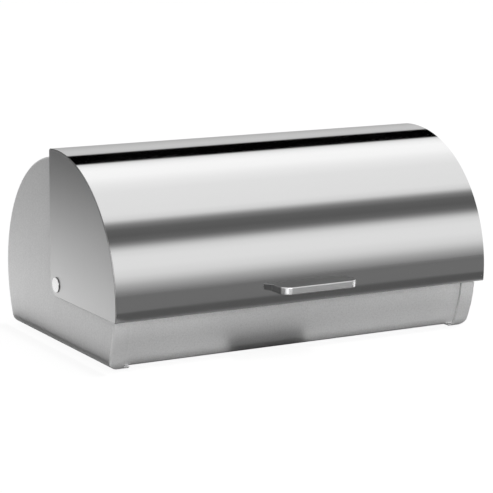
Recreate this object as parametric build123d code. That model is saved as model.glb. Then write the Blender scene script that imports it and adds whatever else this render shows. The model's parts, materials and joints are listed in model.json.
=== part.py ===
from build123d import *
import os
from math import asin, cos, degrees, hypot, pi, sin, sqrt

# Bread box with a roll-top lid. Millimetres. X runs from left to right, Y from front to back and Z up.
# The origin lies on the table, under the middle of the closed box. The lid turns about an axis along X.

# ---------------------------------------------------------------- driving dimensions
# case: two pressed side panels joined by curved sheets
case_width = 404.0
case_radius = 124.5            # outside of the side panels' curved edge
case_axis_back = 3.5           # centre of that curve, behind the pivot
case_axis_drop = 2.0           # and below it
pivot_height = 64.0            # lid pivot above the table
panel_wall = 2.2               # side panels
panel_edge_radius = 2.4        # rounding along the side panels' curved edge
panel_corner_radius = 10.0     # rounding along the side panels' bottom edge
panel_rim = 16.5               # width of the rim that wraps onto the front and the back
panel_clearance = 3.0          # underside of the side panels above the table
ledge_width = 12.0             # step inside each rim that carries the sheets
ledge_wall = 2.0
toe_length = 6.0               # rims' toes turned in under the sheets' lower edges
sheet = 0.7                    # front panel, back shell and base plate
sheet_recess = 2.5             # sheets below the rims' surface
sheet_lift = 1.6               # underside of the sheets above the side panels' underside
sheet_bend = 3.0               # outside bend radius of the sheets
bottom_flange = 14.0
front_rise = 8.0               # front panel's top edge above the pivot
front_hem = 8.0
base_setback = 6.0             # base plate's edges behind the sheets' lower edges

# lid: curved sheet on two end plates
sweep_gap = 1.67               # lid's inside to the case, at the nearest point of its travel
side_gap = 2.2                 # lid end plates to the side panels
lid_sheet = 0.8
lid_plate = 0.8
lid_plate_edge = 0.55          # rounding along the end plates' outer edge
lid_drop = 12.0                # lid's lower edge below the pivot
lid_back = 13.6                # lid's rear edge behind the pivot
lid_bend = 1.8
front_lip = 6.4                # lip turned inwards along the lower edge
rear_lip = 3.2                 # and along the rear edge
plate_flange = 10.0            # end plates' flange under the curved sheet
seam_step = 0.6                # curved sheet's ends inside the end plates' faces

# handle
handle_width = 83.5
handle_depth = 23.0
handle_height = 7.0
handle_rise = 2.2              # underside above the pivot
handle_corner = 10.0
handle_wall = 2.4
handle_back_wall = 6.5
handle_edge = 0.9
handle_screw_spacing = 50.0
handle_screw_radius = 2.0
handle_screw_length = 6.6
handle_screw_head_radius = 3.5
handle_screw_head = 2.0
handle_washer_radius = 4.2
handle_washer_thickness = 0.8

# pivots
cap_radius = 7.5
cap_thickness = 1.0
cap_edge = 0.45
stud_radius = 3.0
stud_end = 1.2                 # stud beyond its nut
stud_chamfer = 0.6
bush_radius = 4.5
bush_flange_radius = 9.0
washer_radius = 7.5
washer_thickness = 1.2
nut_flats = 10.0
nut_thickness = 5.0
nut_chamfer = 0.6              # on the nut's corners
lid_play = 0.15                # end plate between the cap and the bush flange, on each side
running_fit = 0.06             # radial

# closing and opening stop: a flange on the back shell with rubber buffers
buffer_wall = 1.5
buffer_top = 1.2
buffer_depth = 5.0
buffer_edge = 1.19
buffer_length = 30.0
buffer_side_inset = 65.5       # middle of each buffer inside the rims
stop_gap = 0.3                 # lid's rear lip to the closed stop
buffer_gap = 0.8               # lid's inside to the buffers

# feet and fasteners
foot_radius = 8.0
foot_edge = 0.8
foot_side_inset = 42.0         # feet inside the case's ends
foot_end_inset = 30.4          # and inside the base plate's front and rear edges
foot_recess = 2.4
foot_recess_gap = 1.0          # radial, around the rivet's head
rivet_radius = 1.6
rivet_head_radius = 3.2
rivet_head_height = 1.0
rivet_tail_radius = 2.6        # the head that is formed inside
rivet_count = 4                # along each edge of the base plate
rivet_side_inset = 50.5        # outer rivets inside the rims
screw_radius = 1.5
screw_head_radius = 3.0
screw_head_height = 1.2
screw_length = 4.5
cross_length = 1.1             # cross recess, as shares of the screw's head radius
cross_width = 0.25
head_round = 0.65              # rounding of screw and rivet heads, as a share of their height
point_chamfer = 0.33           # screw tips, as a share of their radius
base_screw_count = 3           # on each ledge
base_screw_inset = 32.0        # outer ones inside the base plate's edges
front_screw_rise = 3.5         # front panel's screw above the pivot
back_screw_rise = 5.5          # back shell's lower screw above the sheets' lower edge
back_screw_angle = 118.0       # and its upper one, from the front and over the top
hole_fit = 0.05                # radial, around fasteners
seam_gap = 0.3                 # sheets' ends to the rims

# ---------------------------------------------------------------- what follows from them
case_half = case_width / 2
seam_x = case_half - panel_rim
ledge_x = seam_x - ledge_width
case_reach = case_radius + case_axis_back
lid_inner = case_radius + hypot(case_axis_back, case_axis_drop) + sweep_gap
lid_radius = lid_inner + lid_sheet
lid_half = case_half + side_gap + lid_plate
pivot_y = (lid_radius + handle_depth - case_reach) / 2
case_y = pivot_y + case_axis_back
case_z = pivot_height - case_axis_drop
panel_floor = panel_clearance
sheet_floor = panel_floor + sheet_lift
base_top = sheet_floor
base_bottom = base_top - sheet
sheet_radius = case_radius - sheet_recess
sheet_reach = sqrt(sheet_radius ** 2 - (case_z - sheet_floor) ** 2)   # sheets' lower edges, from their axis
base_reach = sheet_reach - base_setback
ledge_radius = sheet_radius - sheet
front_top = pivot_height + front_rise
stop_face = lid_back - lid_sheet - stop_gap - buffer_wall - sheet
stop_tip = lid_inner - buffer_gap - buffer_top
bush_end = lid_half + lid_play
bush_flange_top = case_half + side_gap - lid_play
inner_face = case_half - panel_wall
handle_screw_z = pivot_height + handle_rise + handle_height / 2
room = 4 * case_radius         # larger than the box, for half spaces


# ---------------------------------------------------------------- helpers
def disc_at(y, z, radius):
    """Round face in the YZ plane."""
    return Pos(y, z) * Circle(radius)


def zone(y0, y1, z0, z1):
    """Rectangle in the YZ plane between two Y and two Z values."""
    return Pos((y0 + y1) / 2, (z0 + z1) / 2) * Rectangle(y1 - y0, z1 - z0)


def slab(profile, x0, x1):
    """Profile in the YZ plane drawn out from x0 to x1."""
    return extrude(Plane.YZ.offset(x0) * profile, x1 - x0)


def case_profile(radius, floor):
    """D-shaped section of the case: a disc cut flat at the floor."""
    return disc_at(case_y, case_z, radius) & zone(-room, room, floor, room)


def corner(profile, y, z, radius):
    """Round the corner of a profile that lies nearest to (y, z)."""
    return fillet(profile.vertices().sort_by_distance((y, z, 0))[0], radius)


def case_depth_at(radius, z):
    """Half depth of a circle about the case's axis at height z."""
    return sqrt(radius ** 2 - (z - case_z) ** 2)


def both_sides(node, solid):
    """Write a piece made for the right-hand side, and its mirror image."""
    save(node + "_right", solid)
    save(node + "_left", mirror(solid, about=Plane.YZ))


def save(node, shape):
    """Write one piece, or a group of like pieces, to its own file."""
    if isinstance(shape, list):
        shape = Compound(children=shape)
    export_step(shape, os.path.join("parts", node + ".step"))


def across(x, y, z):
    """Place along X: the tool's +Z points to the outside of the right-hand end."""
    return Location(Plane(origin=(x, y, z), x_dir=(0, 1, 0), z_dir=(1, 0, 0)))


def drill(radius, depth):
    """Cylinder along Z, centred on the origin, for cutting holes."""
    return Cylinder(radius, depth)


def pan_screw(radius, length, head_radius, head):
    """Screw along Z with its head seated on Z = 0 and a cross recess."""
    shank = Pos(0, 0, -length / 2) * Cylinder(radius, length)
    shank = chamfer(shank.edges().group_by(Axis.Z)[0], radius * point_chamfer)
    cap = Pos(0, 0, head / 2) * Cylinder(head_radius, head)
    cap = fillet(cap.edges().group_by(Axis.Z)[-1], head * head_round)
    slot = Box(head_radius * cross_length, head_radius * cross_width, head)
    cross = Pos(0, 0, head) * (slot + Rot(0, 0, 90) * slot)
    return shank + cap - cross


def rivet(grip):
    """Rivet along Z through sheets of the given grip, with a domed head at each end."""
    shank = Pos(0, 0, -grip / 2) * Cylinder(rivet_radius, grip)
    top = Pos(0, 0, rivet_head_height / 2) * Cylinder(rivet_head_radius, rivet_head_height)
    top = fillet(top.edges().group_by(Axis.Z)[-1], rivet_head_height * head_round)
    tail = Pos(0, 0, -grip - rivet_head_height / 2) * Cylinder(rivet_tail_radius, rivet_head_height)
    tail = fillet(tail.edges().group_by(Axis.Z)[0], rivet_head_height * head_round)
    return shank + top + tail


def row(count, half):
    """Evenly spaced positions of a row of fasteners from -half to half."""
    return [half * (2 * i / (count - 1) - 1) for i in range(count)]


# ---------------------------------------------------------------- where the fasteners go
def radial(angle, radius):
    """Place on a circle about the case's axis, with +Z pointing outwards. 0 is the front, 90 the top."""
    y = -cos(angle * pi / 180)
    z = sin(angle * pi / 180)
    return Plane(origin=(0, case_y + radius * y, case_z + radius * z), x_dir=(1, 0, 0), z_dir=(0, y, z))


def panel_screw_places():
    """Screws that hold the front panel and the back shell on the right-hand ledge."""
    front_angle = degrees(asin((front_screw_rise + case_axis_drop) / sheet_radius))
    back_angle = 180 + degrees(asin((case_z - sheet_floor - back_screw_rise) / sheet_radius))
    x = (seam_x + ledge_x) / 2
    angles = (front_angle, back_screw_angle, back_angle)
    return [Pos(x, 0, 0) * Location(radial(a, sheet_radius)) for a in angles]


def base_screw_places():
    """Screws that hold the base plate on the right-hand ledge, heads down."""
    x = (seam_x + ledge_x) / 2
    down = Rot(180, 0, 0)
    ys = row(base_screw_count, base_reach - base_screw_inset)
    return [Pos(x, case_y + y, base_bottom) * down for y in ys]


def base_rivet_places():
    """Rivets through the base plate and the bottom flanges of the front panel and the back shell."""
    inset = (bottom_flange - base_setback) / 2
    down = Rot(180, 0, 0)
    xs = row(rivet_count, seam_x - rivet_side_inset)
    return [Pos(x, case_y + y, base_bottom) * down for y in row(2, base_reach - inset) for x in xs]


def foot_places():
    """Feet by name: the point on the table under each one."""
    ends = zip(("front", "rear"), row(2, base_reach - foot_end_inset))
    sides = list(zip(("left", "right"), row(2, case_half - foot_side_inset)))
    return {"foot_%s_%s" % (end, side): Pos(x, case_y + y, 0) for end, y in ends for side, x in sides}


# ---------------------------------------------------------------- case
def envelope(inset):
    """Block with the case's width and rounded bottom edges, drawn through in Y."""
    section = Pos(0, panel_floor + inset + room / 2) * RectangleRounded(
        case_width - 2 * inset, room, panel_corner_radius - inset)
    return extrude(Plane.XZ * section, room, both=True)


def sheet_outline(radius, floor, bend):
    """D-shaped outline of the case's sheets, with rounded lower edges."""
    outline = case_profile(radius, floor)
    reach = case_depth_at(radius, floor)
    for side in (-1, 1):
        outline = corner(outline, case_y + side * reach, floor, bend)
    return outline


def sheet_inside():
    """Inside of the case's sheets, which the ledges fill."""
    return sheet_outline(ledge_radius, sheet_floor + sheet, sheet_bend - sheet)


def toes():
    """Toes of the right-hand rim, with slanted tips, under the front panel and the back shell."""
    top = sheet_floor - seam_gap
    tip = seam_x - toe_length
    slant = top - panel_floor
    section = make_face(Polyline(
        (seam_x, panel_floor), (tip + slant, panel_floor), (tip, top), (seam_x, top), close=True))
    bar = extrude(Plane.XZ * section, room, both=True) & slab(disc_at(case_y, case_z, case_radius), 0, room)
    reach = base_reach + seam_gap
    return bar - slab(zone(case_y - reach, case_y + reach, 0, room), 0, room)


def side_panel():
    """Right-hand side panel: a dished D with a rim, its toes and a stepped ledge."""
    disc = slab(disc_at(case_y, case_z, case_radius), seam_x, case_half)
    disc = fillet(disc.edges().sort_by(Axis.X)[-1], panel_edge_radius)
    rim = disc & envelope(0)
    web = seam_x + panel_wall
    pad_reach = sheet_reach - bottom_flange - seam_gap
    pad = zone(case_y - pad_reach, case_y + pad_reach, sheet_floor, sheet_floor + 2 * sheet)
    ledge = slab(sheet_inside() + pad, ledge_x, web)
    dish = slab(disc_at(case_y, case_z, case_radius - panel_wall), web, inner_face) & envelope(panel_wall)
    mouth = slab(case_profile(ledge_radius - ledge_wall, sheet_floor + sheet + ledge_wall), ledge_x, web)
    panel = rim + toes() + ledge - dish - mouth
    panel -= across(inner_face, pivot_y, pivot_height) * drill(bush_radius + hole_fit, 4 * panel_wall)
    for place in panel_screw_places():
        panel -= place * drill(screw_radius + hole_fit, 4 * screw_length)
    for place in base_screw_places():
        panel -= place * drill(screw_radius + hole_fit, 2 * screw_length)
    return panel


def sheet_profile():
    """Section of the case's sheets, all the way round."""
    return sheet_outline(sheet_radius, sheet_floor, sheet_bend) - sheet_inside()


def sheet_holes(part, ends):
    """Cut the screw holes near both ends of a sheet, and the rivet holes along its flange."""
    for place in ends:
        tool = place * drill(screw_radius + hole_fit, 4 * sheet)
        part = part - tool - mirror(tool, about=Plane.YZ)
    for place in base_rivet_places():
        part -= place * drill(rivet_radius + hole_fit, 8 * sheet)
    return part


def front_panel():
    """Curved strip below the lid, with a bottom flange and a hem along its top edge."""
    lip_y = case_y - case_depth_at(sheet_radius, front_top)
    bottom = zone(-room, case_y - sheet_reach + bottom_flange, 0, front_top)
    strip = sheet_profile() & bottom
    hem = zone(lip_y, lip_y + front_hem, front_top - sheet, front_top)
    strip = strip + (hem & case_profile(sheet_radius, sheet_floor))
    strip = corner(strip, lip_y, front_top, sheet_bend / 2)
    part = extrude(Plane.YZ * strip, seam_x - seam_gap, both=True)
    notch = case_profile(ledge_radius, sheet_floor) & zone(-room, room, pivot_height, room)
    cut = slab(notch, ledge_x - seam_gap, case_half)
    return sheet_holes(part - cut - mirror(cut, about=Plane.YZ), panel_screw_places()[:1])


def back_shell():
    """Curved sheet from the bottom flange, round the back and over to the stop flange on top."""
    face = pivot_y + stop_face
    offset_y = face - case_y
    top_in = case_z + sqrt(ledge_radius ** 2 - offset_y ** 2)
    top_out = case_z + sqrt(sheet_radius ** 2 - (offset_y + sheet) ** 2)
    shell = sheet_profile() & zone(face, room, sheet_floor + sheet, room)
    flange_front = case_y + sheet_reach - bottom_flange
    flange = zone(flange_front, flange_front + bottom_flange, sheet_floor, sheet_floor + sheet)
    shell = shell + (sheet_profile() & flange)
    stop = zone(face, face + sheet, top_in, room) & disc_at(pivot_y, pivot_height, stop_tip)
    shell = shell + stop
    shell = corner(shell, face, top_in, sheet_bend / 2 + sheet)
    shell = corner(shell, face + sheet, top_out, sheet_bend / 2)
    part = extrude(Plane.YZ * shell, seam_x - seam_gap, both=True)
    return sheet_holes(part, panel_screw_places()[1:])


def base_plate():
    """Flat plate under the flanges and the ledges."""
    width = 2 * (seam_x - seam_gap)
    outline = Pos(0, case_y) * RectangleRounded(width, 2 * base_reach, sheet_bend)
    plate = extrude(Plane.XY.offset(base_bottom) * outline, sheet)
    for place in base_screw_places():
        tool = place * drill(screw_radius + hole_fit, 4 * sheet)
        plate = plate - tool - mirror(tool, about=Plane.YZ)
    for place in list(base_rivet_places()) + list(foot_places().values()):
        plate -= Pos(0, 0, base_bottom - place.position.Z) * place * drill(rivet_radius + hole_fit, 8 * sheet)
    return plate


def foot():
    """Rubber foot with a recess for its rivet, standing on Z = 0."""
    body = Pos(0, 0, base_bottom / 2) * Cylinder(foot_radius, base_bottom)
    body = fillet(body.edges().group_by(Axis.Z)[0], foot_edge)
    recess = Pos(0, 0, foot_recess / 2) * Cylinder(rivet_head_radius + foot_recess_gap, foot_recess)
    return body - recess - drill(rivet_radius + hole_fit, 4 * base_bottom)


def foot_rivet():
    """Rivet that holds a foot: its head sits in the foot's recess."""
    return Pos(0, 0, foot_recess) * Rot(180, 0, 0) * rivet(base_top - foot_recess)


def stop_buffer():
    """Rubber channel pushed over the back shell's stop flange."""
    tip = pivot_height + sqrt(stop_tip ** 2 - stop_face ** 2)
    y0 = pivot_y + stop_face
    outer = zone(y0 - buffer_wall, y0 + sheet + buffer_wall, tip - buffer_depth, tip + buffer_top)
    slot = zone(y0 - hole_fit, y0 + sheet + hole_fit, tip - 2 * buffer_depth, tip + hole_fit)
    for y in (y0 - buffer_wall, y0 + sheet + buffer_wall):
        outer = corner(outer, y, tip + buffer_top, buffer_edge)
    x = seam_x - buffer_side_inset
    return slab(outer - slot, x - buffer_length / 2, x + buffer_length / 2)


# ---------------------------------------------------------------- pivots
def pivot_stud():
    """Stud with a flat polished cap, pushed in from outside the lid's end plate."""
    nut_end = inner_face - washer_thickness - nut_thickness
    length = bush_end - nut_end + stud_end
    shank = Pos(0, 0, -length / 2) * Cylinder(stud_radius, length)
    shank = chamfer(shank.edges().group_by(Axis.Z)[0], stud_chamfer)
    cap = Pos(0, 0, cap_thickness / 2) * Cylinder(cap_radius, cap_thickness)
    cap = fillet(cap.edges().group_by(Axis.Z)[-1], cap_edge)
    return across(bush_end, pivot_y, pivot_height) * (shank + cap)


def pivot_bush():
    """Nylon bush: its sleeve carries the end plate and its flange keeps the plate off the panel."""
    sleeve = bush_end - inner_face
    flange = bush_flange_top - case_half
    body = Pos(0, 0, sleeve / 2) * Cylinder(bush_radius, sleeve)
    body += Pos(0, 0, panel_wall + flange / 2) * Cylinder(bush_flange_radius, flange)
    body -= drill(stud_radius + hole_fit, 4 * sleeve)
    return across(inner_face, pivot_y, pivot_height) * body


def pivot_washer():
    """Flat washer inside the side panel."""
    ring = Cylinder(washer_radius, washer_thickness) - drill(stud_radius + hole_fit, 2 * washer_thickness)
    return across(inner_face - washer_thickness / 2, pivot_y, pivot_height) * ring


def pivot_nut():
    """Hexagon nut that holds the stud, the bush and the washer together."""
    hexagon = extrude(RegularPolygon(nut_flats / 2, 6, major_radius=False), nut_thickness / 2, both=True)
    crown = Cylinder(nut_flats / 2 + nut_chamfer, nut_thickness)
    crown = chamfer(crown.edges(), nut_chamfer)
    body = (hexagon & crown) - drill(stud_radius + hole_fit, 2 * nut_thickness)
    return across(inner_face - washer_thickness - nut_thickness / 2, pivot_y, pivot_height) * body


# ---------------------------------------------------------------- lid
def lid_profile(radius, inset, bend):
    """Section of the lid: an arc about the pivot, cut level below it and upright behind it."""
    low = pivot_height - lid_drop + inset
    back = pivot_y + lid_back - inset
    section = disc_at(pivot_y, pivot_height, radius) & zone(-room, back, low, room)
    section = corner(section, pivot_y - radius, low, bend)
    section = corner(section, back, pivot_height + radius, bend)
    return corner(section, back, low, lid_drop - inset)


def lid_curve():
    """Curved sheet of the lid with its front and rear lips."""
    skin = lid_profile(lid_radius, 0, lid_bend) - lid_profile(lid_inner, lid_sheet, lid_bend - lid_sheet)
    skin -= disc_at(pivot_y, pivot_height, lid_inner - front_lip)
    upper = zone(-room, room, pivot_height, room)
    skin -= disc_at(pivot_y, pivot_height, lid_inner - rear_lip) & upper
    part = extrude(Plane.YZ * skin, lid_half - lid_plate, both=True)
    over_rim = disc_at(pivot_y, pivot_height, lid_inner) & upper
    cut = slab(over_rim, seam_x - 2 * seam_gap, lid_half)
    part = part - cut - mirror(cut, about=Plane.YZ)
    ring = disc_at(pivot_y, pivot_height, lid_radius) - disc_at(pivot_y, pivot_height, lid_inner)
    edge = slab(ring & lid_profile(lid_radius, 0, lid_bend), lid_half - lid_plate, lid_half - seam_step)
    part = part + edge + mirror(edge, about=Plane.YZ)
    for x in row(2, handle_screw_spacing / 2):
        part -= Pos(x, pivot_y - lid_radius, handle_screw_z) * Rot(90, 0, 0) * drill(
            handle_screw_radius + hole_fit, 8 * lid_sheet)
    return part


def lid_end():
    """Right-hand end plate: flat, with a flange bent in under the curved sheet."""
    radius = lid_inner - hole_fit
    outline = lid_profile(radius, 0, lid_bend - lid_sheet)
    plate = slab(outline, lid_half - lid_plate, lid_half)
    plate = fillet(plate.faces().sort_by(Axis.X)[-1].edges(), lid_plate_edge)
    ring = disc_at(pivot_y, pivot_height, radius) - disc_at(pivot_y, pivot_height, radius - lid_plate)
    ring &= zone(-room, pivot_y + lid_back - 2 * lid_bend, pivot_height - lid_drop + 2 * lid_bend, room)
    plate += slab(ring, lid_half - plate_flange, lid_half - lid_plate)
    return plate - across(lid_half, pivot_y, pivot_height) * drill(bush_radius + running_fit, 4 * lid_plate)


def lid_handle():
    """Ledge handle, open underneath, with a thick back wall for its screws."""
    low = pivot_height + handle_rise
    front = pivot_y - lid_radius - handle_depth
    back = pivot_y - lid_radius + handle_back_wall

    def block(inset, rear, z0, z1):
        """Plate with rounded front corners between two heights."""
        depth = rear - front - inset
        plan = Pos(0, front + inset + depth / 2) * RectangleRounded(
            handle_width - 2 * inset, depth, handle_corner - inset)
        return extrude(Plane.XY.offset(z0) * plan, z1 - z0)

    body = block(0, back + handle_corner, low, low + handle_height)
    body = fillet(body.edges().group_by(Axis.Z)[-1] + body.edges().group_by(Axis.Z)[0], handle_edge)
    pocket_back = pivot_y - lid_radius - handle_back_wall
    pocket = block(handle_wall, pocket_back + handle_corner, low - handle_edge, low + handle_height - handle_wall)
    body -= pocket & slab(zone(-room, pocket_back, 0, room), -room, room)
    body -= slab(disc_at(pivot_y, pivot_height, lid_radius + hole_fit), -handle_width, handle_width)
    for x in row(2, handle_screw_spacing / 2):
        body -= Pos(x, pivot_y - lid_radius, handle_screw_z) * Rot(90, 0, 0) * drill(
            handle_screw_radius + hole_fit, 2 * handle_screw_length)
    return body


def washer_face():
    """Y of the lid's inside at the highest point of the handle's washers, where they bear."""
    rise = handle_screw_z + handle_washer_radius - pivot_height
    return pivot_y - sqrt(lid_inner ** 2 - rise ** 2)


def handle_fasteners():
    """Screws and washers that hold the handle from inside the lid."""
    seat = washer_face() + hole_fit + handle_washer_thickness
    screws = []
    washers = []
    for x in row(2, handle_screw_spacing / 2):
        place = Pos(x, seat, handle_screw_z) * Rot(-90, 0, 0)
        screws.append(place * pan_screw(
            handle_screw_radius, handle_screw_length, handle_screw_head_radius, handle_screw_head))
        ring = Cylinder(handle_washer_radius, handle_washer_thickness)
        ring -= drill(handle_screw_radius + hole_fit, 2 * handle_washer_thickness)
        washers.append(place * Pos(0, 0, -handle_washer_thickness / 2) * ring)
    return screws, washers


# ---------------------------------------------------------------- write the pieces
os.makedirs("parts", exist_ok=True)
both_sides("side_panel", side_panel())
save("front_panel", front_panel())
save("back_shell", back_shell())
save("base_plate", base_plate())
for name, spot in foot_places().items():
    save(name, spot * foot())
save("foot_rivets", [spot * foot_rivet() for spot in foot_places().values()])
save("base_rivets", [spot * rivet(2 * sheet) for spot in base_rivet_places()])
fixing = pan_screw(screw_radius, screw_length, screw_head_radius, screw_head_height)
for group, spots in (("panel_screws", panel_screw_places()), ("base_screws", base_screw_places())):
    right = [spot * fixing for spot in spots]
    save(group + "_right", right)
    save(group + "_left", [mirror(screw, about=Plane.YZ) for screw in right])
both_sides("stop_buffer", stop_buffer())
both_sides("pivot_stud", pivot_stud())
both_sides("pivot_bush", pivot_bush())
both_sides("pivot_washer", pivot_washer())
both_sides("pivot_nut", pivot_nut())
save("lid_curve", lid_curve())
both_sides("lid_end", lid_end())
save("lid_handle", lid_handle())
handle_screws, handle_washers = handle_fasteners()
save("handle_screws", handle_screws)
save("handle_washers", handle_washers)
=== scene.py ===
"""Roll-top bread box: the finishes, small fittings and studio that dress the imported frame.

Lengths are metres and angles degrees unless a name says otherwise. X runs from the box's left to its
right, Y from its front to its back and Z up. The lid turns about a pivot axis along X.
"""
import json
import logging
import math
from dataclasses import dataclass
from enum import Enum
from typing import ClassVar

import bpy
from mathutils import Matrix, Vector


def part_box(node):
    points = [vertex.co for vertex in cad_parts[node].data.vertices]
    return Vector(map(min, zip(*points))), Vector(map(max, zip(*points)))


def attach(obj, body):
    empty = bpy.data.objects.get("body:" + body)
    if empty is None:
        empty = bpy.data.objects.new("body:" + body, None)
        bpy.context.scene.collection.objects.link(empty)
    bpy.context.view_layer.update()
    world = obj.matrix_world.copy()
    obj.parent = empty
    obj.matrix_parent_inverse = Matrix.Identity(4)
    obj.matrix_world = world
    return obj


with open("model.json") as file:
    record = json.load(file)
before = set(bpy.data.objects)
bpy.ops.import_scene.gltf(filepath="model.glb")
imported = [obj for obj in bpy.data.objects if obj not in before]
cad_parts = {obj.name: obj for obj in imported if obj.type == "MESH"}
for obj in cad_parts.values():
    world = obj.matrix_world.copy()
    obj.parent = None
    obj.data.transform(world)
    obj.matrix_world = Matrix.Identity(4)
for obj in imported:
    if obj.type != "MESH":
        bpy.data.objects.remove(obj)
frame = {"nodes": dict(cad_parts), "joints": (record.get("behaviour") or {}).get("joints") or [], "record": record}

LOG = logging.getLogger("bread_box")


class Body(Enum):
    """The two bodies of the box."""

    CASE = "case"
    LID = "lid"


class Effect(Enum):
    """Surface effects that several finishes share, each a shader node group."""

    STREAKS = "brushed streaks"
    SPECKLE = "fine speckle"
    HANDLING = "soft handling marks"
    FACING = "faces rims and edges"


class Side(Enum):
    """The two ends of the box, as the sign of X."""

    LEFT = -1
    RIGHT = 1

    @property
    def word(self) -> str:
        """The side's name in lower case."""
        return self.name.lower()


class Axis(Enum):
    """Directions that a finish can be laid out by."""

    X = (1.0, 0.0, 0.0)
    Z = (0.0, 0.0, 1.0)


# ---------------------------------------------------------------- node building
class Bench:
    """A node tree with short calls to place and join nodes."""

    def __init__(self, tree: bpy.types.NodeTree) -> None:
        """Keep the tree.

        Args:
            tree: the node tree to build in.
        """
        self.tree = tree

    def node(self, kind: str, settings: dict | None = None, **inputs: object) -> bpy.types.Node:
        """Place a node.

        Args:
            kind: the node's type name.
            settings: attributes to set on the node.
            inputs: values or sockets for its inputs, by name, with _ for a space.

        Returns:
            The new node.
        """
        made = self.tree.nodes.new(kind)
        for key, value in (settings or {}).items():
            setattr(made, key, value)
        for key, value in inputs.items():
            self.feed(made.inputs[key.replace("_", " ")], value)
        return made

    def feed(self, socket: bpy.types.NodeSocket, value: object) -> None:
        """Set an input to a value, or join another node's output to it.

        Args:
            socket: the input.
            value: a number, a sequence or an output socket.
        """
        if isinstance(value, bpy.types.NodeSocket):
            self.tree.links.new(value, socket)
        else:
            socket.default_value = value

    def math(self, operation: str, *values: object) -> bpy.types.NodeSocket:
        """Work out a number.

        Args:
            operation: Blender's name for the sum.
            values: its numbers or sockets, in order.

        Returns:
            The result's socket.
        """
        made = self.node("ShaderNodeMath", {"operation": operation})
        for socket, value in zip(made.inputs, values):
            self.feed(socket, value)
        return made.outputs[0]

    def length(self, first: object, second: object) -> bpy.types.NodeSocket:
        """Work out the length of two numbers at right angles.

        Args:
            first: a number's socket.
            second: the other's.

        Returns:
            The length's socket.
        """
        squares = (self.math("POWER", value, 2.0) for value in (first, second))
        return self.math("SQRT", self.math("ADD", *squares))

    def ramp(self, value: object, low: float, high: float,
             start: float = 0.0, end: float = 1.0) -> bpy.types.NodeSocket:
        """Turn a range of a number smoothly into another range.

        Args:
            value: the number's socket.
            low: where the change starts.
            high: where it ends.
            start: the result at and below low.
            end: the result at and above high.

        Returns:
            The result's socket.
        """
        made = self.node("ShaderNodeMapRange", {"interpolation_type": "SMOOTHSTEP"}, Value=value,
                         From_Min=low, From_Max=high, To_Min=start, To_Max=end)
        return made.outputs["Result"]

    def blend(self, factor: object, first: object, second: object) -> bpy.types.NodeSocket:
        """Mix two colours.

        Args:
            factor: how much of the second.
            first: colour or socket.
            second: colour or socket.

        Returns:
            The mixed colour's socket.
        """
        made = self.node("ShaderNodeMix", {"data_type": "RGBA"})
        self.feed(made.inputs[0], factor)
        self.feed(made.inputs[6], first)
        self.feed(made.inputs[7], second)
        return made.outputs[2]


def grey(level: float) -> tuple[float, float, float, float]:
    """Neutral colour of one level."""
    return (level, level, level, 1.0)


BLACK = grey(0.0)
WHITE = grey(1.0)


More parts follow.
